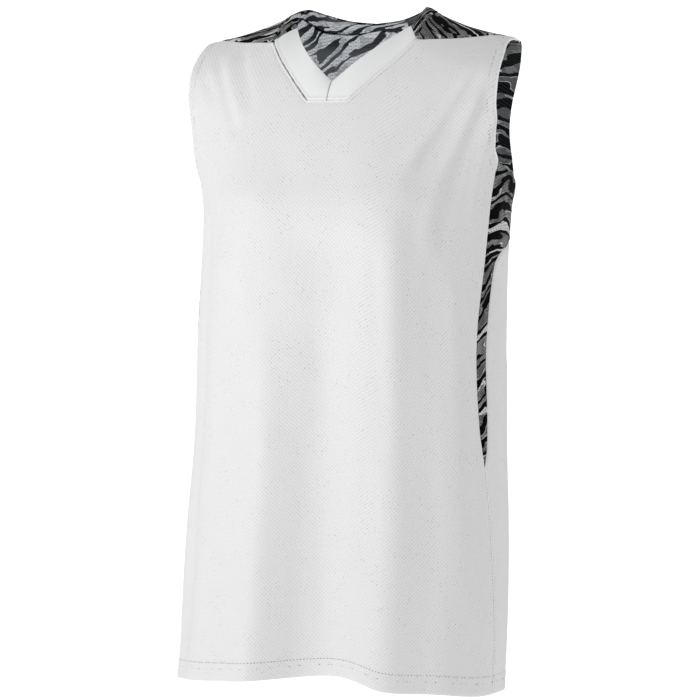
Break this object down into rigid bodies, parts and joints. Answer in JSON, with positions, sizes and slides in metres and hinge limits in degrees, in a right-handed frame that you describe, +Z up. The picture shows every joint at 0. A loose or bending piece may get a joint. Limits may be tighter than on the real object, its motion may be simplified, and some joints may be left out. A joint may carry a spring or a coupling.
{
  "type": "basketball jersey",
  "caption": "Sleeveless V-neck jersey filled out as worn, with a contrast yoke, back neckband and pointed side panels.",
  "frame": {"origin": "midway between the shoulders, level with the shoulder line beside the neck, where a wearer carries the garment", "axes": "+X towards the wearer's left, +Y towards the wearer's back, +Z up"},
  "size_m": [0.3335, 0.234, 0.676],
  "materials": {
    "white_knit": "matt micro-mesh knit",
    "white_band": "smooth matt knit",
    "printed_mesh": "matt printed pinhole mesh"
  },
  "bodies": {
    "root": {"front_panel": "white_knit", "back_panel": "white_knit", "back_yoke": "printed_mesh", "side_panel_left": "printed_mesh", "side_panel_right": "printed_mesh", "collar_front_left": "white_band", "collar_front_right": "white_band", "collar_back": "printed_mesh"}
  },
  "joints": []
}
